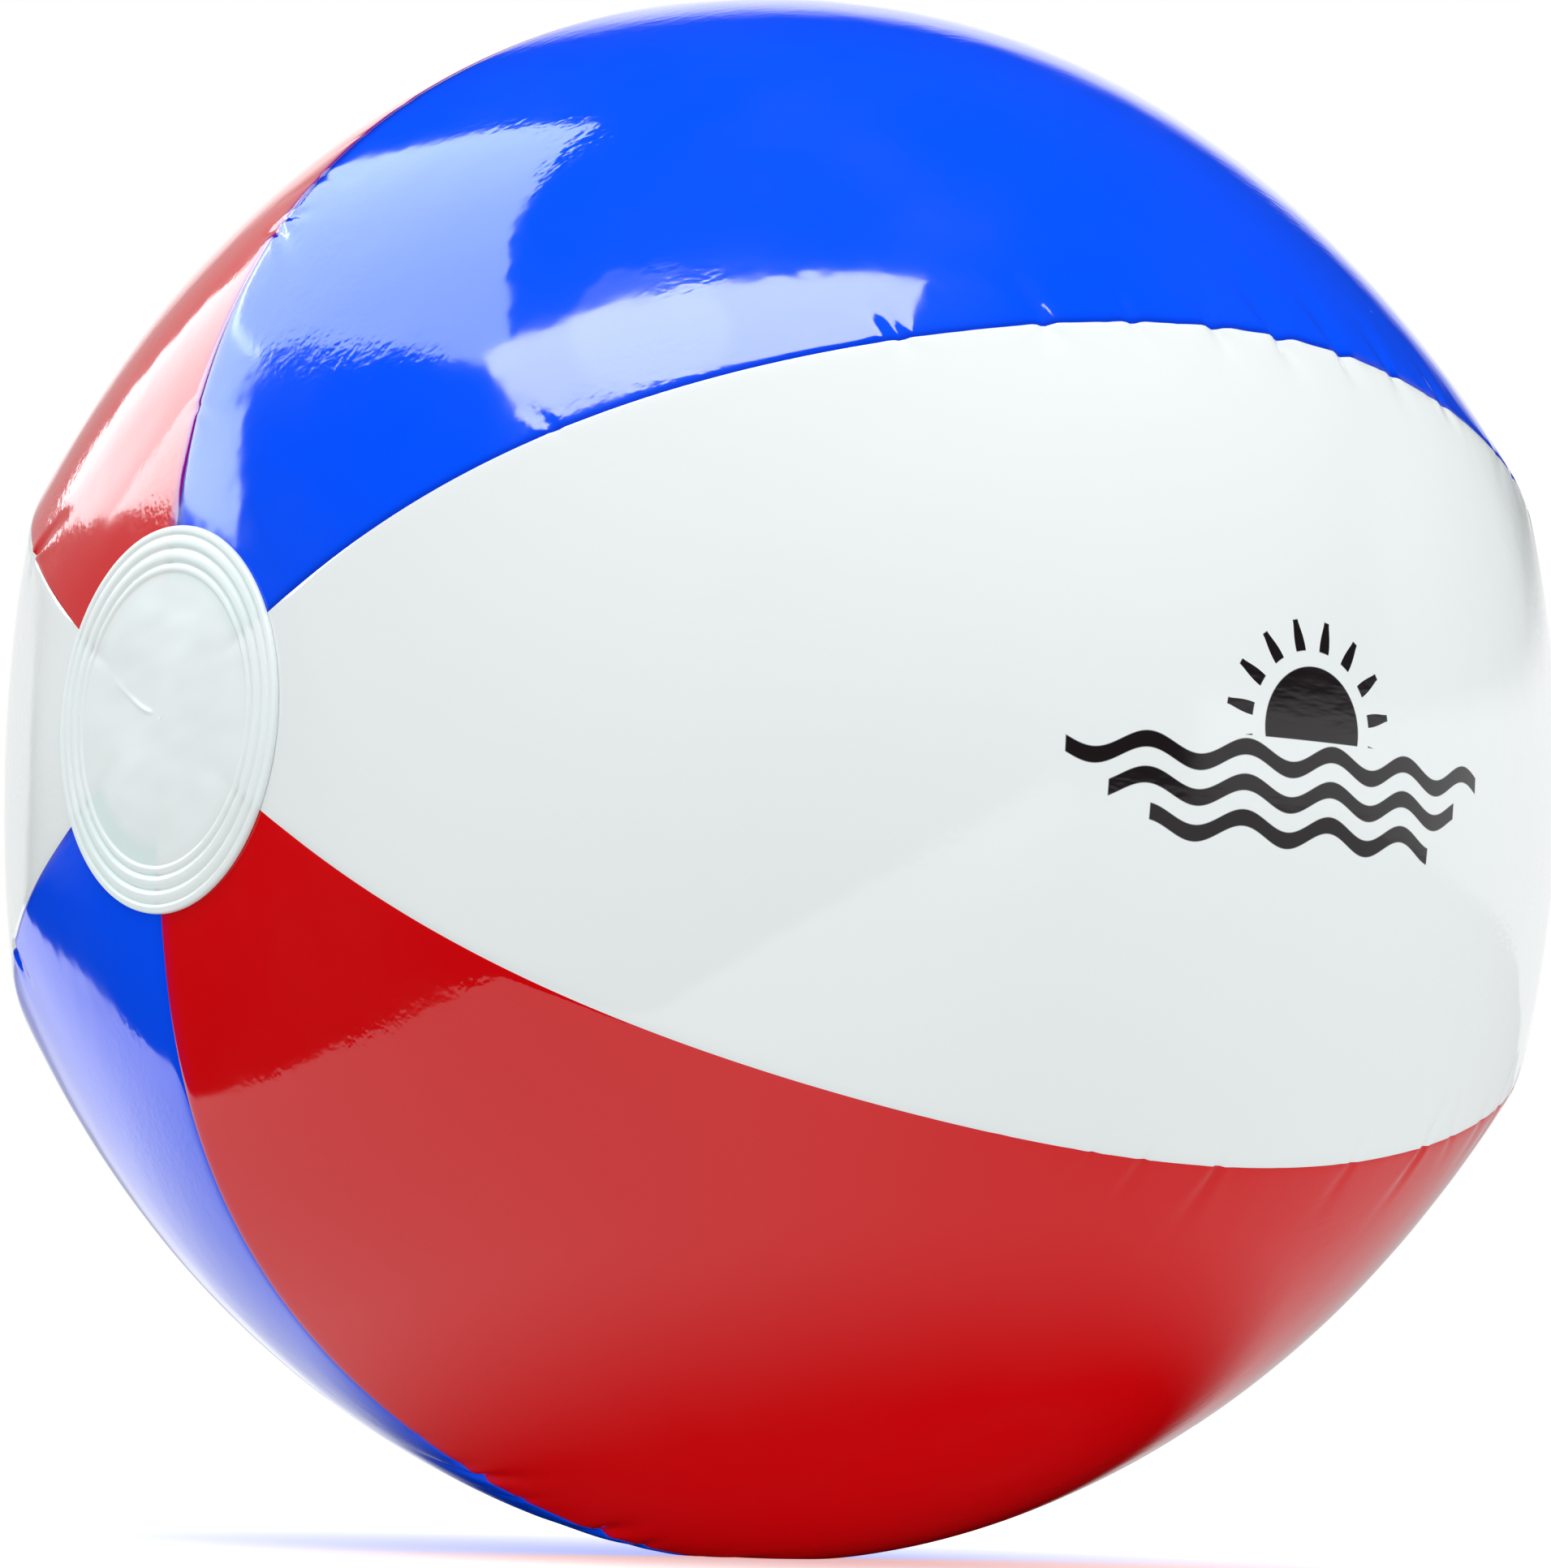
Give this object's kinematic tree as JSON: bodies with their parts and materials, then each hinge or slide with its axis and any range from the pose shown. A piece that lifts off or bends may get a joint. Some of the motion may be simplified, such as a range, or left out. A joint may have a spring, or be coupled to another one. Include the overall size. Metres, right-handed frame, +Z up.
{
  "type": "inflatable beach ball",
  "caption": "Inflatable beach ball of coloured film gores welded seam to seam, closed by end discs, with a push-in mouth valve and tethered stopper.",
  "frame": {"origin": "centre of the ball's bounding box, on the axis through both end discs", "axes": "+X along the axis through the end discs, towards the valve; +Z up, with the ball resting on its lowest seam; -Y towards the middle of the front white panel"},
  "size_m": [0.2509, 0.2606, 0.2631],
  "materials": {
    "white_film": "glossy flexible vinyl film",
    "blue_film": "glossy flexible vinyl film",
    "red_film": "glossy flexible vinyl film",
    "cap_film": "milky translucent heavy vinyl disc",
    "seam_weld": "fused film edge inside the ball",
    "valve_vinyl": "soft moulded translucent vinyl",
    "stopper_vinyl": "soft moulded vinyl",
    "flap_vinyl": "thin clear vinyl"
  },
  "bodies": {
    "ball": {"panel_white_1": "white_film", "panel_blue_1": "blue_film", "panel_red_1": "red_film", "panel_white_2": "white_film", "panel_blue_2": "blue_film", "panel_red_2": "red_film", "seam_weld_1": "seam_weld", "seam_weld_2": "seam_weld", "seam_weld_3": "seam_weld", "seam_weld_4": "seam_weld", "seam_weld_5": "seam_weld", "seam_weld_6": "seam_weld", "end_cap_plain": "cap_film", "end_cap_valve": "cap_film", "valve_flange": "valve_vinyl", "valve_diaphragm": "valve_vinyl"},
    "stem": {"valve_stem": "valve_vinyl", "stopper_tether": "stopper_vinyl"},
    "stopper": {"stopper_plug": "stopper_vinyl"},
    "flap": {"check_flap": "flap_vinyl", "flap_web": "flap_vinyl"}
  },
  "joints": [
    {"name": "stem_slide", "type": "slide", "parent": "ball", "child": "stem", "axis": [1, 0, 0], "range_m": [0, 0.014], "deforming": ["valve_diaphragm"]},
    {"name": "stopper_swing", "type": "hinge", "parent": "stem", "child": "stopper", "pos_m": [0.12339, 0, 0.0075], "axis": [0, -1, 0], "range_deg": [0, 120], "deforming": ["stopper_tether"]},
    {"name": "flap_hinge", "type": "hinge", "parent": "stem", "child": "flap", "pos_m": [0.10704, 0, 0.0043], "axis": [0, 1, 0], "range_deg": [0, 45], "stiffness_Nm_per_rad": 0.00001, "deforming": ["flap_web"]}
  ]
}
